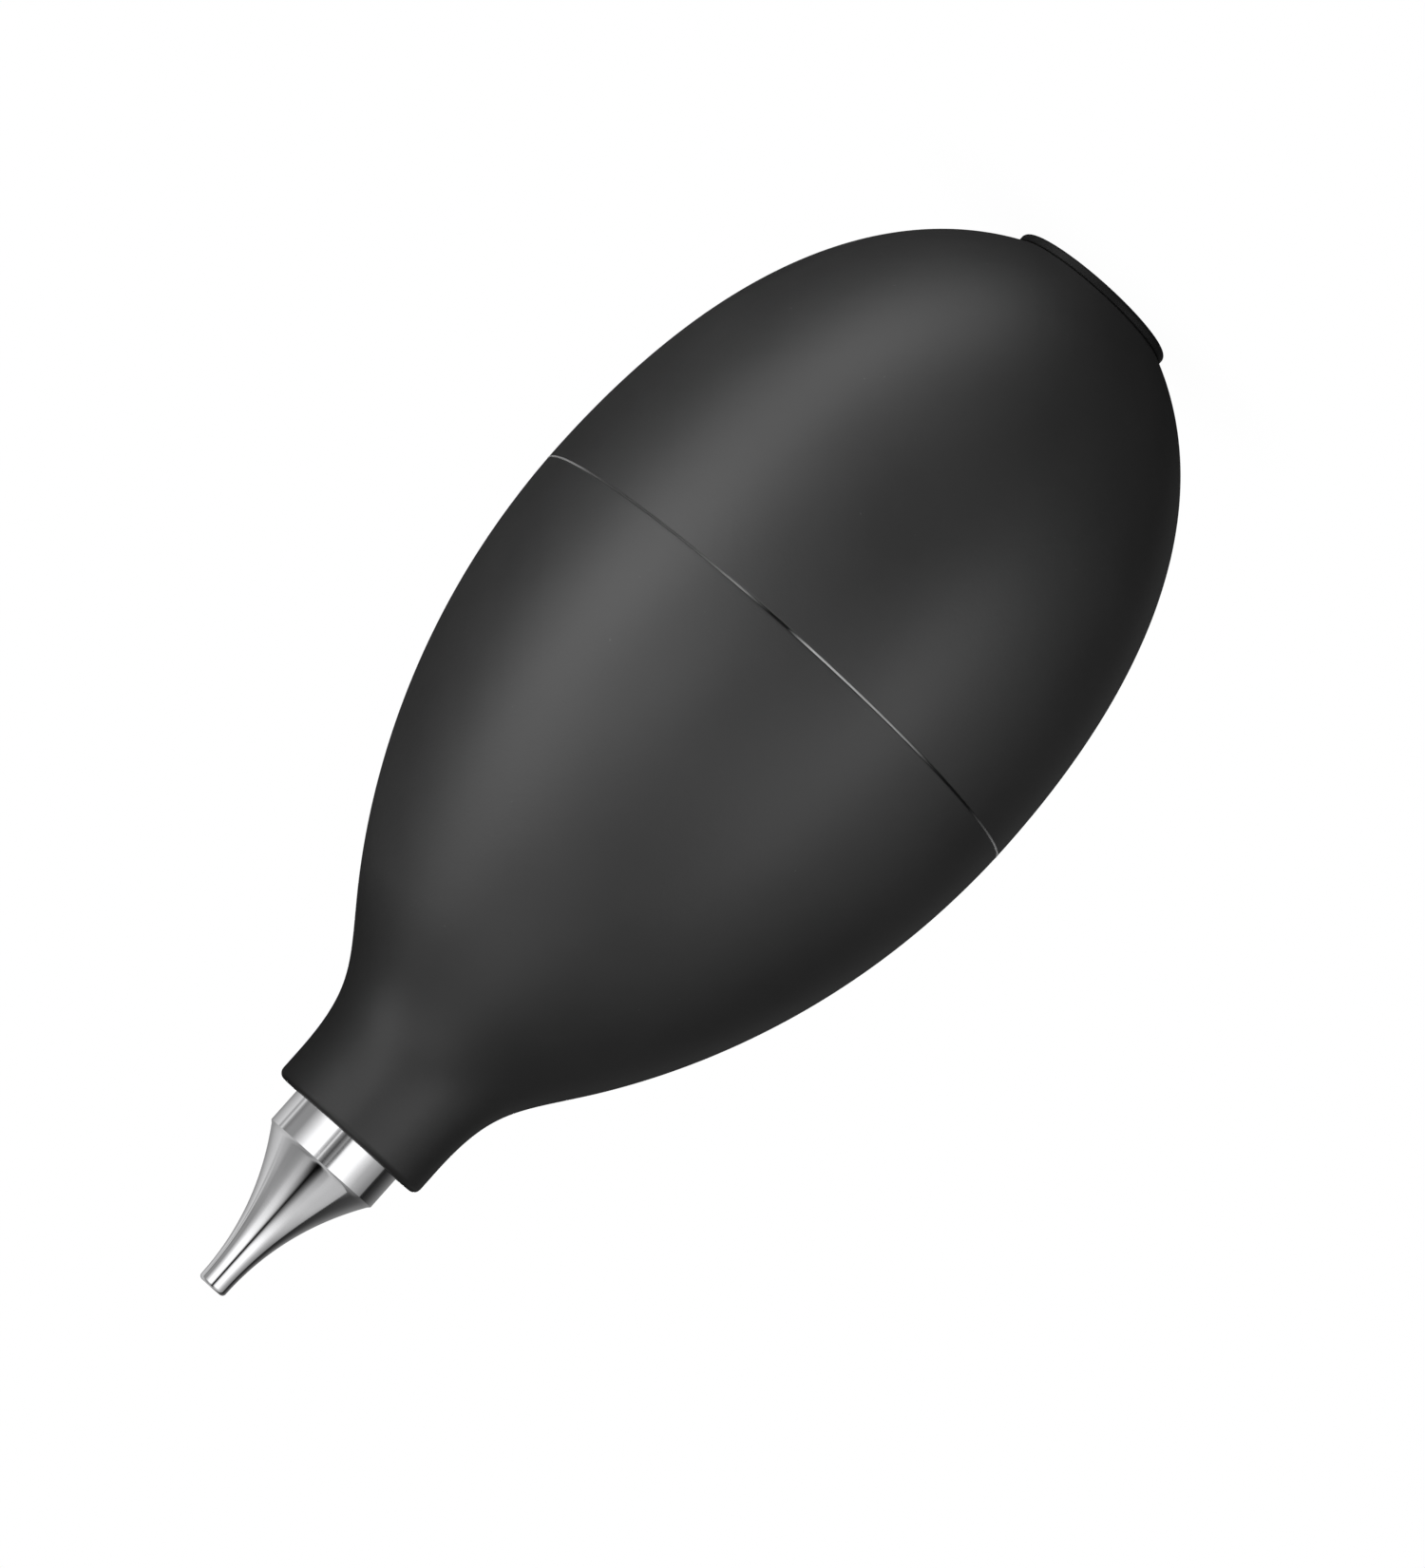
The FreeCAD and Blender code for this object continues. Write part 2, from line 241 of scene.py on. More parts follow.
def tube_into(bm, path, radius, sides):
    """Sweep a round wire along a path of points in mm, with capped ends."""
    rings = []
    for k, point in enumerate(path):
        ahead = path[min(k + 1, len(path) - 1)]
        behind = path[max(k - 1, 0)]
        along = (Vector(ahead) - Vector(behind)).normalized()
        side = along.cross(Vector((0, 0, 1)))
        side = side.normalized() if side.length > 1e-6 else Vector((1, 0, 0))
        rise = side.cross(along)
        ring = []
        for n in range(sides):
            angle = FULL_TURN * n / sides
            offset = (side * math.cos(angle) + rise * math.sin(angle)) * radius
            ring.append(bm.verts.new((Vector(point) + offset) * MM))
        rings.append(ring)
    for one, two in zip(rings, rings[1:]):
        for n in range(sides):
            m = (n + 1) % sides
            bm.faces.new((one[n], one[m], two[m], two[n]))
    bm.faces.new(rings[0])
    bm.faces.new(rings[-1])


# ---------------------------------------------------------------- materials


def material(name):
    """A new node material; returns it with its tree and its shader."""
    made = bpy.data.materials.new(name)
    made.use_nodes = True
    tree = made.node_tree
    return made, tree, tree.nodes["Principled BSDF"]


def node(tree, kind, inputs=None, **settings):
    """A new node with its settings and the values of its sockets."""
    made = tree.nodes.new(kind)
    for key, value in settings.items():
        setattr(made, key, value)
    for key, value in (inputs or {}).items():
        made.inputs[key].default_value = value
    return made


def noise(tree, scale, detail=2.0, roughness=0.5, stretch=(1, 1, 1)):
    """A noise texture on object coordinates, stretched along an axis where asked."""
    place = node(tree, "ShaderNodeTexCoord")
    mapping = node(tree, "ShaderNodeMapping")
    mapping.inputs["Scale"].default_value = stretch
    tree.links.new(place.outputs["Object"], mapping.inputs["Vector"])
    made = node(tree, "ShaderNodeTexNoise",
                {"Scale": scale, "Detail": detail, "Roughness": roughness})
    tree.links.new(mapping.outputs["Vector"], made.inputs["Vector"])
    return made.outputs["Fac"]


def ramp(tree, source, stops):
    """A colour ramp; each stop is (position, grey) or (position, (r, g, b))."""
    made = node(tree, "ShaderNodeValToRGB")
    elements = made.color_ramp.elements
    while len(elements) < len(stops):
        elements.new(0.5)
    for element, (position, tone) in zip(elements, stops):
        element.position = position
        rgb = (tone, tone, tone) if isinstance(tone, (int, float)) else tone
        element.color = (*rgb, 1.0)
    tree.links.new(source, made.inputs["Fac"])
    return made.outputs["Color"]


def bump(tree, source, strength, distance, shader, below=None):
    """Relief on a shader, over another bump where one is given."""
    made = node(tree, "ShaderNodeBump", {"Strength": strength, "Distance": distance})
    tree.links.new(source, made.inputs["Height"])
    if below is not None:
        tree.links.new(below, made.inputs["Normal"])
    tree.links.new(made.outputs["Normal"], shader.inputs["Normal"])
    return made.outputs["Normal"]


def rubber(name, tone, rough, grain=1.0):
    """Matte moulded rubber: a fine grain, cloudy sheen and a few specks of dust."""
    made, tree, shader = material(name)
    clouds = noise(tree, 90.0, 4.0, 0.55)
    specks = noise(tree, 2600.0, 1.0, 0.4)
    base = ramp(tree, clouds, [(0.3, tone * 0.9), (0.7, tone * 1.1)])
    dust = ramp(tree, specks, [(0.8, 0.0), (0.86, 0.5)])
    mix = node(tree, "ShaderNodeMix", data_type="RGBA", blend_type="ADD")
    mix.inputs["Factor"].default_value = 0.06
    tree.links.new(base, mix.inputs["A"])
    tree.links.new(dust, mix.inputs["B"])
    tree.links.new(mix.outputs["Result"], shader.inputs["Base Color"])
    tree.links.new(ramp(tree, clouds, [(0.25, rough - 0.02), (0.75, rough + 0.03)]),
                   shader.inputs["Roughness"])
    coarse = bump(tree, noise(tree, 900.0, 3.0, 0.5), 0.05 * grain, 0.0002, shader)
    bump(tree, noise(tree, 5200.0, 2.0, 0.6), 0.10 * grain, 0.00006, shader, coarse)
    shader.inputs["IOR"].default_value = 1.5
    return made


def turned_metal(name, colour, rough, marks=1.0):
    """Polished turned metal: rings left by the tool, faint cloudy wear."""
    made, tree, shader = material(name)
    shader.inputs["Metallic"].default_value = 1.0
    wear = noise(tree, 260.0, 5.0, 0.6)
    dark = tuple(c * 0.93 for c in colour)
    tree.links.new(ramp(tree, wear, [(0.35, dark), (0.62, colour)]), shader.inputs["Base Color"])
    tree.links.new(ramp(tree, wear, [(0.3, rough), (0.75, rough + 0.05)]),
                   shader.inputs["Roughness"])
    rings = noise(tree, 1.0, 3.0, 0.6, stretch=(0.02, 0.02, 9000.0))
    bump(tree, rings, 0.05 * marks, 0.00003, shader)
    return made


def moulded_plastic(name, tone, rough):
    """Matte black plastic with a fine spark-eroded texture."""
    made, tree, shader = material(name)
    clouds = noise(tree, 140.0, 3.0, 0.5)
    tree.links.new(ramp(tree, clouds, [(0.3, tone * 0.85), (0.7, tone * 1.15)]),
                   shader.inputs["Base Color"])
    tree.links.new(ramp(tree, clouds, [(0.3, rough - 0.04), (0.7, rough + 0.04)]),
                   shader.inputs["Roughness"])
    bump(tree, noise(tree, 3800.0, 2.0, 0.5), 0.02, 0.00006, shader)
    shader.inputs["Specular IOR Level"].default_value = 0.15
    return made


def painted_seam_glints(name):
    """The seam with a painted reflection: light grey painted glints and black painted shade,
    alternating round the bulb.
    """
    made, tree, shader = material(name)
    place = node(tree, "ShaderNodeTexCoord")
    turn = node(tree, "ShaderNodeMapping")
    turn.inputs["Rotation"].default_value = (0, 0, math.radians(90))
    radial = node(tree, "ShaderNodeTexGradient", gradient_type="RADIAL")
    tree.links.new(place.outputs["Object"], turn.inputs["Vector"])
    tree.links.new(turn.outputs["Vector"], radial.inputs["Vector"])
    # The ramp paints the seam's glints and shade by angle round the bulb.
    tree.links.new(ramp(tree, radial.outputs["Color"], SEAM_GLINT_STOPS), shader.inputs["Base Color"])
    shader.inputs["Roughness"].default_value = 0.55
    shader.inputs["Specular IOR Level"].default_value = 0.12
    return made


# Painted reflection round the seam: light grey glints and black shade, by angle in degrees from -Y
# towards +X.
SEAM_PAINTED_GLINTS = [
    (-180, 0.60), (-90, 0.60), (-76, 0.42), (-65, 0.15), (-56, 0.04), (-53, 0.006), (-42, 0.004),
    (-39, 0.012), (-36, 0.05), (-33, 0.20), (-28, 0.34), (-10, 0.43), (-4, 0.40), (-1.5, 0.20),
    (1, 0.004), (6, 0.001), (9.5, 0.07), (12, 0.18), (15, 0.18), (19, 0.10), (24, 0.065),
    (36, 0.045), (50, 0.045), (57, 0.07), (62, 0.16), (85, 0.24), (180, 0.60),
]
SEAM_GLINT_STOPS = [(0.5 + angle / 360.0, tone) for angle, tone in SEAM_PAINTED_GLINTS]


# ---------------------------------------------------------------- pieces of the bulb

BULB_SEGMENTS = 256


def seam_corner(edge, side):
    """A half's rounded corner at the seam, from outside inwards; side is 1 in front, -1 behind."""
    return [(edge - 0.02, SEAM + side * SEAM_CHAMFER * 0.6),
            (edge - 0.07, SEAM + side * SEAM_CHAMFER * 0.25),
            (edge - SEAM_CHAMFER, SEAM + side * SEAM_GAP)]


def make_rear_half():
    """The rear half: outer wall, corner at the seam, inner wall and the boss round the plug."""
    outline = between(bulb_outside(), DISC_FRONT, SEAM - SEAM_CHAMFER)
    outline += seam_corner(outline[-1][0], -1)
    outline += straight(outline[-1], (BULB_R - WALL, SEAM - SEAM_GAP), 3)
    outline += between(bulb_inside(), BOSS_FACE, SEAM)
    outline += straight(outline[-1], (SPIGOT_R, BOSS_FACE), 4)
    outline += straight(outline[-1], (SPIGOT_R, DISC_FRONT), 3)
    return revolved("bulb_rear", outline, BULB_SEGMENTS)


def make_front_half():
    """The front half: corner at the seam, outer wall, the neck's rounded end and its sockets."""
    outer_edge, inner_edge = 0.6, 0.15
    outside = between(bulb_outside(), SEAM + SEAM_CHAMFER, NECK_END)
    outline = seam_corner(outside[0][0], 1)[::-1] + outside
    outline += straight(outline[-1], (NECK_R, NECK_END - outer_edge), 4)
    outline += arc((NECK_R - outer_edge, NECK_END - outer_edge), outer_edge, 8, 90, 10)
    outline += straight(outline[-1], (LIP_R + inner_edge, NECK_END), 3)
    outline += arc((LIP_R + inner_edge, NECK_END - inner_edge), inner_edge, 105, 180, 5)
    outline += straight(outline[-1], (LIP_R, LIP_FLOOR), 3)
    outline += straight(outline[-1], (BUSH_R, LIP_FLOOR), 1)
    outline += straight(outline[-1], (BUSH_R, NECK_FLOOR), 6)
    outline += straight(outline[-1], (NECK_FLOOR_R, NECK_FLOOR), 2)
    outline += between(bulb_inside(), SEAM, NECK_FLOOR)
    outline += straight(outline[-1], outline[0], 3)[:-1]
    return revolved("bulb_front", outline, BULB_SEGMENTS)


def make_seam_line():
    """The thin line that lies between the corners of the two halves."""
    outline = arc((BULB_R - SEAM_CHAMFER * 0.55, SEAM), SEAM_CHAMFER * 0.62, 0, 345, 23)
    return revolved("bulb_seam", outline, BULB_SEGMENTS, smooth_angle=60)


# ---------------------------------------------------------------- nozzle and seal


def make_nozzle():
    """Grooved shank, collar, hollow-ground taper and bored tip, as one turned piece."""
    face = LIP_FLOOR
    corner = 0.08
    bevel_foot, bevel_top = 83.5, 83.69
    root = COLLAR_R - 0.19
    tip_r, tip_edge = 1.15, 0.3
    shoulder = TIP - tip_edge
    bore_r, mouth_edge = 0.55, 0.13
    mouth_r = bore_r + mouth_edge
    wide_bore_r, step_low, step_high = 1.5, 80.4, 81.35
    shank_edge = 0.15
    groove_r, groove_half = 2.05, 0.5
    groove_low = middle("nozzle_seal") - groove_half
    groove_high = middle("nozzle_seal") + groove_half
    outline = [(KEEPER_R, face)]
    outline += straight(outline[-1], (COLLAR_R - corner, face), 2)
    outline += [(COLLAR_R, face + corner)]
    outline += straight(outline[-1], (COLLAR_R, bevel_foot), 8)
    outline += straight(outline[-1], (root, bevel_top), 2)
    outline += cubic(outline[-1], (root - 2.22, bevel_top + 3.41), (tip_r, shoulder - 4.07),
                     (tip_r, shoulder), 72)
    outline += arc((tip_r - tip_edge, shoulder), tip_edge, 10, 90, 9)
    outline += straight(outline[-1], (mouth_r, TIP), 2)
    outline += arc((mouth_r, TIP - mouth_edge), mouth_edge, 110, 180, 4)
    outline += straight(outline[-1], (bore_r, step_high), 10)
    outline += straight(outline[-1], (wide_bore_r, step_low), 2)
    outline += straight(outline[-1], (wide_bore_r, SHANK_END), 4)
    outline += straight(outline[-1], (KEEPER_R - shank_edge, SHANK_END), 2)
    outline += straight(outline[-1], (KEEPER_R, SHANK_END + shank_edge), 1)
    outline += straight(outline[-1], (KEEPER_R, groove_low), 3)
    outline += straight(outline[-1], (groove_r, groove_low), 2)
    outline += straight(outline[-1], (groove_r, groove_high), 2)
    outline += straight(outline[-1], (KEEPER_R, groove_high), 2)
    outline += straight(outline[-1], (KEEPER_R, face - 0.1), 3)
    return revolved("nozzle_turned", outline, 256, smooth_angle=25.0)


def make_seal():
    """The rubber ring in the shank's groove."""
    centre = middle("nozzle_seal")
    section = high("nozzle_seal") - centre
    ring_r = reach("nozzle_seal") - section
    outline = arc((ring_r, centre), section, 0, 345, 23)
    return revolved("seal_ring", outline, 128, smooth_angle=60)


# ---------------------------------------------------------------- intake disc and filter


def make_plug():
    """The disc with its soft edge and pressed ring, and the barbed spigot in front of it."""
    edge = 0.35
    lip, lip_top, buried = 0.17, DISC_FRONT + 0.12, DISC_FRONT + 0.09
    ring_r, ring_depth = 4.8, 0.09
    spigot = SPIGOT_R - 0.03
    barb_foot, barb_top = BOSS_FACE + 0.02, BOSS_FACE + 1.5
    step = low("intake_keeper")
    end = high("valve_plug")
    bore, bore_edge, mouth_edge = KEEPER_R + 0.05, 0.1, 0.12
    chamber_r, cone_top = 2.4, 3.9
    seat_r, seat = 1.1, 2.6
    pocket_floor = 1.2
    outline = [(bore + mouth_edge, 0.0)]
    outline += straight(outline[-1], (ring_r - 0.2, 0.0), 3)
    outline += [(ring_r - 0.14, 0.05), (ring_r - 0.06, ring_depth), (ring_r + 0.06, ring_depth),
                (ring_r + 0.14, 0.05), (ring_r + 0.2, 0.0)]
    outline += straight(outline[-1], (DISC_R - edge, 0.0), 2)
    outline += arc((DISC_R - edge, edge), edge, -80, 0, 9)
    outline += arc((DISC_R - lip, lip_top - lip), lip, 0, 52, 5)
    outline += [(DISC_R - 0.3, buried), (DISC_R - 0.42, buried)]
    outline += straight(outline[-1], (spigot, DISC_FRONT), 3)
    outline += straight(outline[-1], (spigot, barb_foot), 3)
    outline += [(SPIGOT_R + 0.74, barb_foot), (SPIGOT_R + 0.8, barb_foot + 0.08)]
    outline += straight(outline[-1], (spigot, barb_top), 3)
    outline += straight(outline[-1], (spigot, end - 0.15), 3)
    outline += [(spigot - 0.15, end), (bore + bore_edge, end), (bore, end - bore_edge)]
    outline += straight(outline[-1], (bore, step), 2)
    outline += straight(outline[-1], (chamber_r, step), 1)
    outline += straight(outline[-1], (chamber_r, cone_top), 3)
    outline += straight(outline[-1], (seat_r, seat), 2)
    outline += straight(outline[-1], (seat_r, pocket_floor), 2)
    outline += straight(outline[-1], (bore, pocket_floor), 2)
    outline += straight(outline[-1], (bore, mouth_edge), 2)
    return revolved("intake_disc", outline, 192)


def make_filter():
    """A plain weave of fine wires inside the disc's pocket."""
    centre = middle("intake_filter")
    limit = KEEPER_R - 0.12
    pitch, wire, wave = 0.3, 0.062, 0.066
    steps_per_wire = 8
    rim_wire = 0.1
    count = int(limit / pitch)
    bm = bmesh.new()
    for along_x in (True, False):
        for lane in range(-count, count + 1):
            offset = lane * pitch
            half = math.sqrt(limit ** 2 - offset ** 2)
            steps = max(4, int(half / pitch * steps_per_wire))
            phase = 0.0 if (lane % 2 == 0) == along_x else math.pi
            path = []
            for k in range(steps + 1):
                run = -half + 2 * half * k / steps
                height = centre + wave * math.cos(math.pi * run / pitch + phase)
                path.append((run, offset, height) if along_x else (offset, run, height))
            tube_into(bm, path, wire, 6)
    revolve_into(bm, arc((limit, centre), rim_wire, 0, 330, 11), 96)
    return add_mesh("filter_weave", bm, 60)


def make_filter_ring():
    """A split snap ring with rounded edges."""
    bottom, top = low("filter_ring"), high("filter_ring")
    inner, outer, edge = 2.3, KEEPER_R, 0.1
    gap = math.radians(7)
    count = 120
    section = [(inner, bottom + edge), (inner + edge, bottom), (outer - edge, bottom),
               (outer, bottom + edge), (outer, top - edge), (outer - edge, top),
               (inner + edge, top), (inner, top - edge)]
    bm = bmesh.new()
    previous = None
    for k in range(count + 1):
        angle = gap / 2 + (FULL_TURN - gap) * k / count
        ring = [bm.verts.new((r * MM * math.cos(angle), r * MM * math.sin(angle), z * MM))
                for r, z in section]
        if previous:
            for n in range(len(section)):
                m = (n + 1) % len(section)
                bm.faces.new((previous[n], previous[m], ring[m], ring[n]))
        else:
            bm.faces.new(ring)
        previous = ring
    bm.faces.new(previous)
    return add_mesh("snap_ring", bm)


# ---------------------------------------------------------------- valves


def make_spring(name, cad_node):
    """A coil spring with a closed turn at each end, where the CAD spring is."""
    wire, radius = 0.13, 1.1
    bottom, top = low(cad_node) + wire, high(cad_node) - wire
    steps_per_turn = 28
    closed_turns, open_turns = 0.75, 3.0
    closed_pitch = wire * 2.05
    rise_closed = closed_pitch * closed_turns
    turns = 2 * closed_turns + open_turns
    path = []
    for k in range(int(turns * steps_per_turn) + 1):
        turn = k / steps_per_turn
        if turn <= closed_turns:
            share = turn / closed_turns * rise_closed
        elif turn <= closed_turns + open_turns:
            part = (turn - closed_turns) / open_turns
            share = rise_closed + part * (top - bottom - 2 * rise_closed)
        else:
            share = top - bottom - (turns - turn) / closed_turns * rise_closed
        angle = FULL_TURN * turn
        path.append((radius * math.cos(angle), radius * math.sin(angle), bottom + share))
    bm = bmesh.new()
    tube_into(bm, path, wire, 10)
    return add_mesh(name, bm, 60)


# ---------------------------------------------------------------- stage


def make_camera():
    """A long lens in front of the thumb's side, rolled so that the nozzle points down left."""
    eye = Vector((0.0, -0.4738, 0.08582))
    aim = Vector((-0.00284, 0.0, 0.04476))
    # How far right and down in the picture one step up the blower's axis goes.
    axis_right, axis_down = -0.6654, 0.7465
    forward = (aim - eye).normalized()
    rise = (Vector((0, 0, 1)) - forward * forward.z).normalized()
    side = forward.cross(rise)
    right = -axis_down * side + axis_right * rise
    up = -axis_right * side - axis_down * rise
    data = bpy.data.cameras.new("camera")
    data.lens, data.sensor_width = 152.73, 36.0
    data.clip_start, data.clip_end = 0.01, 20.0
    camera = bpy.data.objects.new("camera", data)
    rotation = Matrix((right, up, -forward)).transposed().to_4x4()
    camera.matrix_world = Matrix.Translation(eye) @ rotation
    bpy.context.scene.collection.objects.link(camera)
    bpy.context.scene.camera = camera


# The point that the lamps face and the light cards surround, in metres.
CENTRE = Vector((0, 0, 0.05))


def around(azimuth, elevation, distance):
    """A place round the blower: azimuth from -Y towards +X, in degrees and metres."""
    a, e = math.radians(azimuth), math.radians(elevation)
    return CENTRE + distance * Vector(
        (math.sin(a) * math.cos(e), -math.cos(a) * math.cos(e), math.sin(e)))


def area_light(name, place, width, height, power, receivers):
    """A soft box that faces the blower and lights the receivers only."""
    data = bpy.data.lights.new(name, "AREA")
    data.shape = "RECTANGLE"
    data.size, data.size_y = width, height
    data.energy = power
    lamp = bpy.data.objects.new(name, data)
    lamp.location = place
    lamp.rotation_euler = (CENTRE - place).to_track_quat("-Z", "Y").to_euler()
    lamp.visible_camera = False
    lamp.light_linking.receiver_collection = receivers
    bpy.context.scene.collection.objects.link(lamp)
    return lamp


# Light cards round the nozzle: azimuth, then the brightness low, half-way up and high.
CARDS = [
    (-180, 0.30, 0.12, 0.40), (-150, 0.20, 0.09, 0.40), (-134, 0.12, 0.08, 0.38),
    (-120, 0.05, 0.07, 0.34), (-107, 0.02, 0.05, 0.30), (-101, 0.03, 0.05, 0.30),
    (-98, 0.26, 0.48, 0.50), (-87, 0.36, 0.58, 0.52), (-70, 0.54, 0.62, 0.56),
    (-55, 0.95, 0.70, 0.60), (-47, 1.30, 0.76, 0.56), (-37, 1.45, 0.80, 0.38),
    (-26, 1.45, 0.74, 0.32), (-20, 1.35, 0.58, 0.16), (-14, 1.10, 0.40, 0.05),
    (-10, 0.80, 0.28, 0.02), (-7, 0.35, 0.20, 0.01), (-4, 0.05, 0.10, 0.00),
    (0, 0.00, 0.00, 0.00), (4, 0.02, 0.08, 0.00), (7, 0.35, 0.34, 0.01), (10, 0.90, 0.54, 0.02),
    (14, 1.25, 0.65, 0.05), (20, 1.40, 0.80, 0.14), (26, 1.40, 0.88, 0.29),
    (32, 1.40, 0.88, 0.40), (43, 1.30, 0.80, 0.41), (48, 1.08, 0.64, 0.36),
    (55, 0.82, 0.48, 0.32), (62, 0.60, 0.41, 0.28), (72, 0.33, 0.36, 0.25),
    (88, 0.33, 0.34, 0.27), (97, 0.24, 0.48, 0.33), (101, 0.35, 0.50, 0.33),
    (106, 0.80, 0.52, 0.31), (110, 0.58, 0.56, 0.30), (113, 0.36, 0.60, 0.30),
    (119, 0.76, 0.66, 0.42), (135, 0.57, 0.60, 0.52), (157, 0.34, 0.52, 0.57),
    (180, 0.30, 0.50, 0.50),
]
CARD_ROWS = (-60, -30, 0, 20, 30, 40, 52, 65, 78, 89.9)
# A narrow flag low in front of them, which darkens the middle of the collar only.
FLAG = [
    (-16, 1.05, 0, 0), (-13, 0.33, 0, 0), (-10, 0.14, 0, 0), (-7, 0.36, 0, 0), (-3, 0.20, 0, 0),
    (0, 0.08, 0, 0), (3, 0.18, 0, 0), (7, 0.34, 0, 0), (9.5, 1.00, 0, 0), (12.5, 0.36, 0, 0),
    (16.5, 0.66, 0, 0), (19, 1.30, 0, 0),
]
FLAG_ROWS = (-60, -30, 0, 2.2)
# Brightness of every card straight overhead.
TOP_LEVEL = 0.45


def card_level(levels, elevation):
    """Brightness of a card by elevation, easing through its three levels to the top's."""
    lower_level, middle_level, upper_level = levels
    stops = ((20, lower_level), (40, middle_level), (65, upper_level), (78, upper_level),
             (90, TOP_LEVEL))
    if elevation <= stops[0][0]:
        return lower_level
    for (lower, one), (upper, two) in zip(stops, stops[1:]):
        if elevation <= upper:
            return one + (two - one) * (elevation - lower) / (upper - lower)


def card_sheet(name, columns, rows, radius, receivers):
    """A curved sheet of light cards, seen only in the polished metal."""
    bm = bmesh.new()
    layer = bm.verts.layers.float.new("level")
    previous = None
    for angle, *levels in columns:
        column = []
        for elevation in rows:
            vert = bm.verts.new(around(angle, elevation, radius))
            vert[layer] = card_level(levels, elevation)
            column.append(vert)
        if previous:
            for n in range(len(rows) - 1):
                bm.faces.new((previous[n], previous[n + 1], column[n + 1], column[n]))
        previous = column
    sheet = mesh_object(name, bm)
    made, tree = material(name)[:2]
    tree.nodes.clear()
    out = node(tree, "ShaderNodeOutputMaterial")
    glow = node(tree, "ShaderNodeEmission")
    level = node(tree, "ShaderNodeAttribute", attribute_name="level")
    tree.links.new(level.outputs["Fac"], glow.inputs["Strength"])
    tree.links.new(glow.outputs["Emission"], out.inputs["Surface"])
    sheet.data.materials.append(made)
    sheet.visible_camera = False
    sheet.visible_shadow = False
    sheet.visible_diffuse = False
    sheet.light_linking.receiver_collection = receivers
    return sheet


def make_floor():
    """A pale floor that fades into the white background."""
    bm = bmesh.new()
    half_width = 6.0
    # A hair below the disc, so that no face of the floor lies in a face of the disc.
    top = -0.02 * MM
    for x, y in ((-1, -1), (1, -1), (1, 1), (-1, 1)):
        bm.verts.new((x * half_width, y * half_width, top))
    bm.faces.new(bm.verts)
    floor = mesh_object("floor", bm)
    made, tree, shader = material("floor_white")
    shader.inputs["Base Color"].default_value = (0.8, 0.8, 0.8, 1)
    shader.inputs["Roughness"].default_value = 0.9
    shader.inputs["Specular IOR Level"].default_value = 0.0
    glow = node(tree, "ShaderNodeEmission", {"Strength": 1.0})
    place = node(tree, "ShaderNodeTexCoord")
    length = node(tree, "ShaderNodeVectorMath", operation="LENGTH")
    tree.links.new(place.outputs["Object"], length.inputs[0])
    share = ramp(tree, length.outputs["Value"], [(0.0, 0.97), (0.02, 1.0)])
    mix = node(tree, "ShaderNodeMixShader")
    tree.links.new(share, mix.inputs["Fac"])
    tree.links.new(shader.outputs["BSDF"], mix.inputs[1])
    tree.links.new(glow.outputs["Emission"], mix.inputs[2])
    tree.links.new(mix.outputs["Shader"], tree.nodes["Material Output"].inputs["Surface"])
    floor.data.materials.append(made)
    floor.visible_shadow = False
    floor.visible_diffuse = False
    floor.visible_glossy = False


def make_background():
    """A white background that lights nothing itself."""
    world = bpy.data.worlds.new("white")
    bpy.context.scene.world = world
    world.use_nodes = True
    world.node_tree.nodes["Background"].inputs["Color"].default_value = (1, 1, 1, 1)
    for ray in ("diffuse", "glossy", "transmission", "scatter"):
        setattr(world.cycles_visibility, ray, False)
    bpy.context.scene.view_settings.view_transform = "Standard"


# Soft boxes: name, azimuth and elevation in degrees, distance, width and height in metres, watts.
LAMPS = [
    ("key_under", 66, -60, 0.5, 0.22, 0.25, 0.445),
    ("key_low", 66, -35, 0.5, 0.22, 0.25, 0.68),
    ("key_middle", 66, 15, 0.5, 0.22, 0.25, 0.686),
    ("key_high", 66, 40, 0.5, 0.22, 0.25, 0.372),
    ("fill", -46, 15, 0.5, 0.22, 0.25, 0.42),
    ("rim_left", -80, 0, 0.5, 0.2, 0.6, 0.209),
    ("rim_back", -150, 0, 0.5, 0.2, 0.6, 0.061),
    ("top", 0, 60, 0.5, 0.3, 0.3, 0.392),
    ("near_middle", 50, -8, 0.2, 0.08, 0.08, 0.064),
    ("near_side", 66, -8, 0.2, 0.08, 0.08, 0.046),
    ("near_left", -46, -15, 0.2, 0.08, 0.08, 0.076),
    ("neck_middle", 20, 8, 0.25, 0.06, 0.06, 0.085),
    ("neck_high", 40, 30, 0.3, 0.1, 0.1, 0.095),
    ("neck_left", -18, 8, 0.25, 0.06, 0.06, 0.052),
    ("back", 180, -5, 0.15, 0.04, 0.1, 0.3),
]
# The two lamps that the shade beside the neck holds back; the others shine past it.
SHADED = ("key_middle", "near_side")


def make_neck_shade():
    """An unseen curved shade beside the neck."""
    bm = bmesh.new()
    radius, bottom, top = 20.0 * MM, (NECK_END - 11.3) * MM, (NECK_END + 9.2) * MM
    previous = None
    for degrees in range(25, 100, 5):
        angle = math.radians(degrees)
        column = [bm.verts.new((radius * math.sin(angle), -radius * math.cos(angle), z))
                  for z in (bottom, top)]
        if previous:
            bm.faces.new((previous[0], previous[1], column[1], column[0]))
        previous = column
    shade = mesh_object("neck_shade", bm)
    for ray in ("camera", "diffuse", "glossy", "transmission"):
        setattr(shade, "visible_" + ray, False)
    return shade


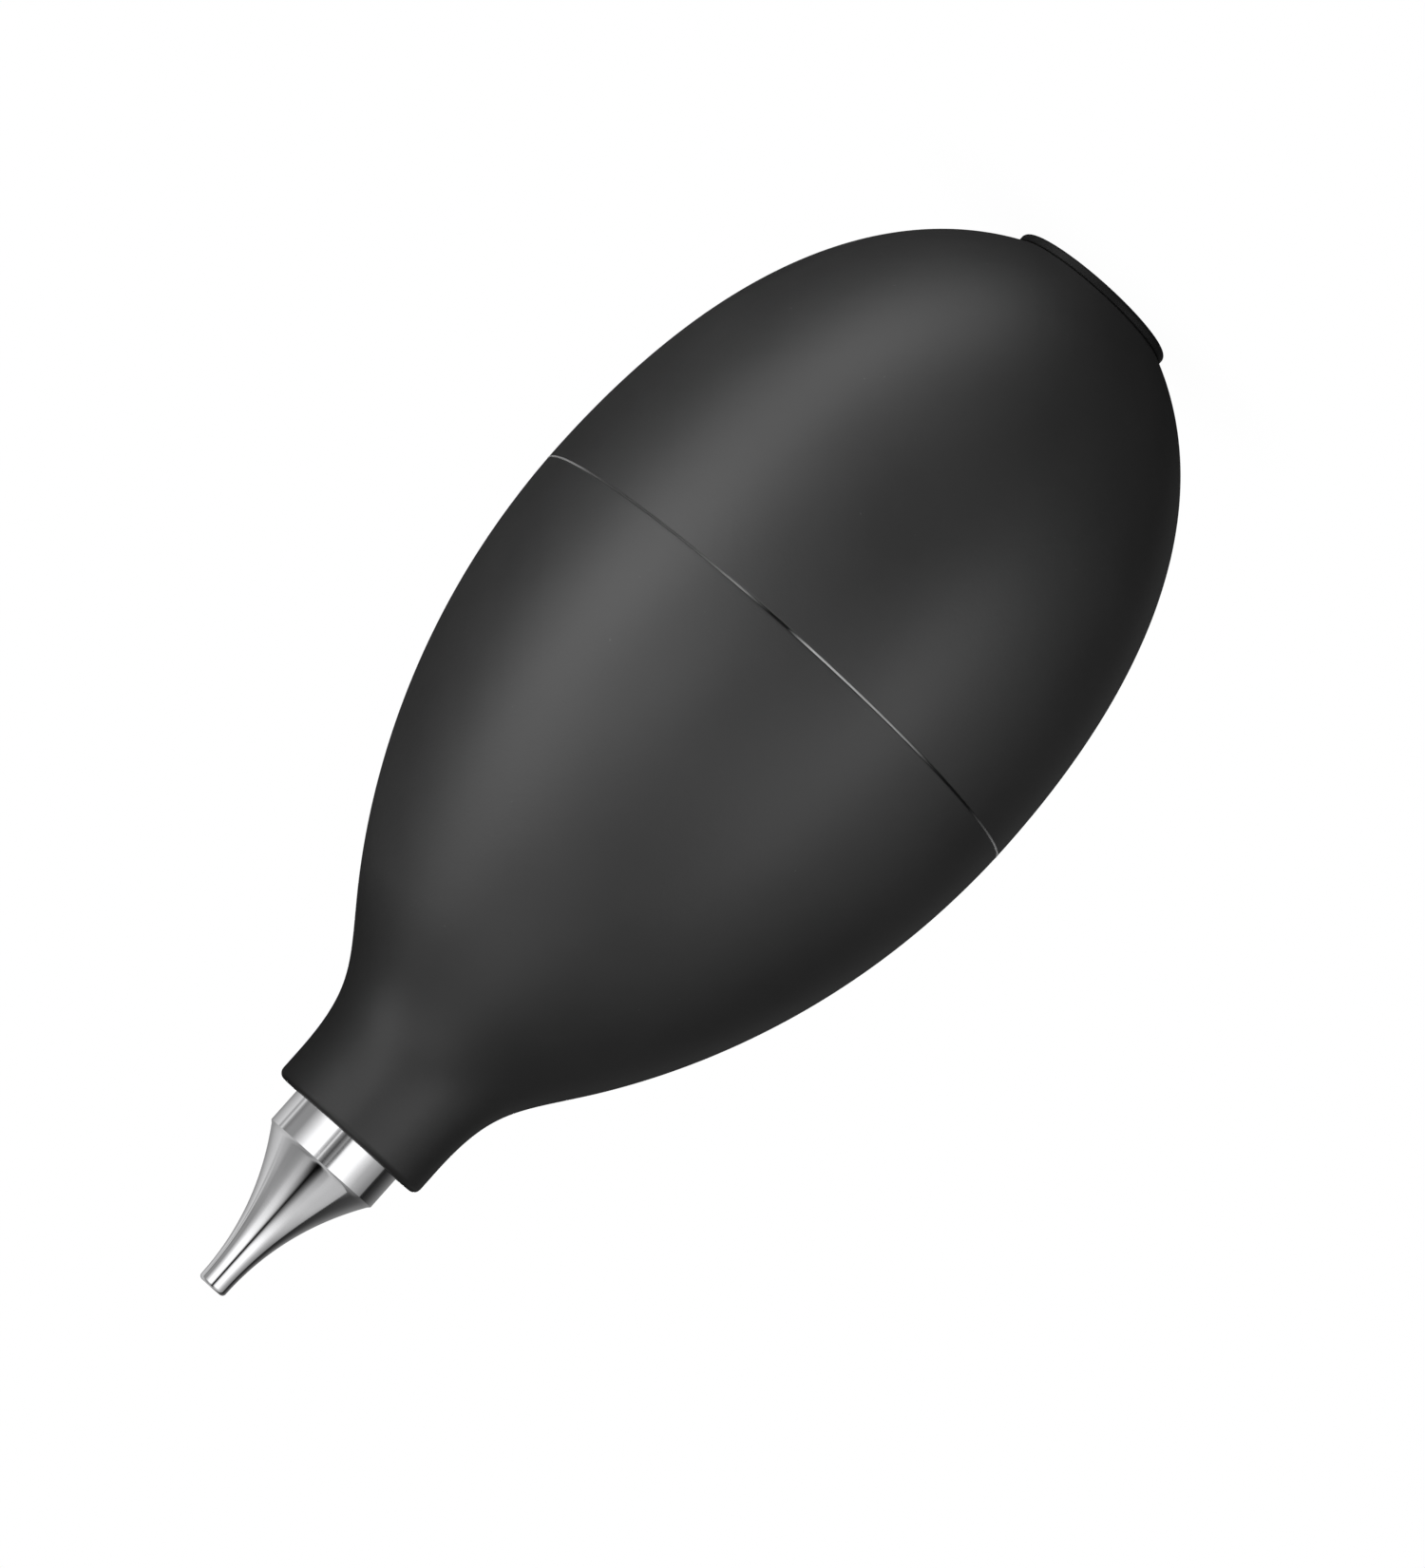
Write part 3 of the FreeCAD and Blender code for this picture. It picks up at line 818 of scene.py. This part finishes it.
def make_lights():
    """Soft boxes for the matte pieces, and the dome of cards for the polished nozzle."""
    matte = bpy.data.collections.new("matte_receivers")
    metal = bpy.data.collections.new("metal_receivers")
    open_blockers = bpy.data.collections.new("blockers")
    shade_blockers = bpy.data.collections.new("blockers_and_shade")
    for item in bpy.context.scene.objects:
        if item.type == "MESH":
            (metal if item.name.startswith("nozzle") else matte).objects.link(item)
            open_blockers.objects.link(item)
            shade_blockers.objects.link(item)
    shade_blockers.objects.link(make_neck_shade())
    for name, azimuth, elevation, distance, width, height, power in LAMPS:
        lamp = area_light(name, around(azimuth, elevation, distance), width, height, power, matte)
        lamp.light_linking.blocker_collection = (
            shade_blockers if name in SHADED else open_blockers)
    for sheet in (card_sheet("cards", CARDS, CARD_ROWS, 1.6, metal),
                  card_sheet("flag", FLAG, FLAG_ROWS, 1.5, metal)):
        sheet.light_linking.blocker_collection = open_blockers


# ---------------------------------------------------------------- put together


def show(item, finish, body, slot, *cad_nodes):
    """Give a piece its material, its body and the CAD nodes that it stands for; the slot is not
    used.
    """
    item.data.materials.clear()
    item.data.materials.append(finish)
    if body:
        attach(item, body)
    if cad_nodes:
        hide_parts(*cad_nodes)


def dress(cad_node, finish):
    """Give a CAD node that stays its material."""
    item = frame["nodes"][cad_node]
    item.data.materials.clear()
    item.data.materials.append(finish)


bulb_rubber = rubber("bulb_rubber", 0.022, 0.5)
seal_rubber = rubber("seal_rubber", 0.012, 0.4, 0.5)
seam_glint_finish = painted_seam_glints("painted_seam_glints")
disc_plastic = moulded_plastic("disc_plastic", 0.009, 0.6)
chrome = turned_metal("nozzle_chrome", (0.80, 0.80, 0.81), 0.05)
brass = turned_metal("turned_brass", (0.75, 0.58, 0.30), 0.22, 2.0)
steel = turned_metal("bright_steel", (0.62, 0.62, 0.63), 0.25, 0.5)
ball_finish = turned_metal("ball_steel", (0.75, 0.75, 0.76), 0.06, 0.2)

rear_half = make_rear_half()
front_half = make_front_half()
seam_ring = make_seam_line()
show(rear_half, bulb_rubber, None, "bulb_rubber", "bulb_rear_half")
show(front_half, bulb_rubber, None, "bulb_rubber", "bulb_front_half", "thumb_panel")
show(seam_ring, seam_glint_finish, None, "bulb_rubber")
for soft in (rear_half, front_half, seam_ring):
    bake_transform(soft)

show(make_nozzle(), chrome, "nozzle", "nozzle_chrome", "nozzle")
show(make_seal(), seal_rubber, "seal", "seal_rubber", "nozzle_seal")
show(make_plug(), disc_plastic, "bulb", "plug_plastic", "valve_plug")
show(make_filter(), steel, "bulb", "filter_steel", "intake_filter")
show(make_filter_ring(), steel, "bulb", "filter_steel", "filter_ring")
for end in ("intake", "outlet"):
    coil = make_spring(end + "_coil", end + "_spring")
    show(coil, steel, "bulb", "spring_steel", end + "_spring")
    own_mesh(coil)
    dress(end + "_ball", ball_finish)
    dress(end + "_keeper", brass)
dress("neck_bush", brass)

make_camera()
make_floor()
make_background()
make_lights()
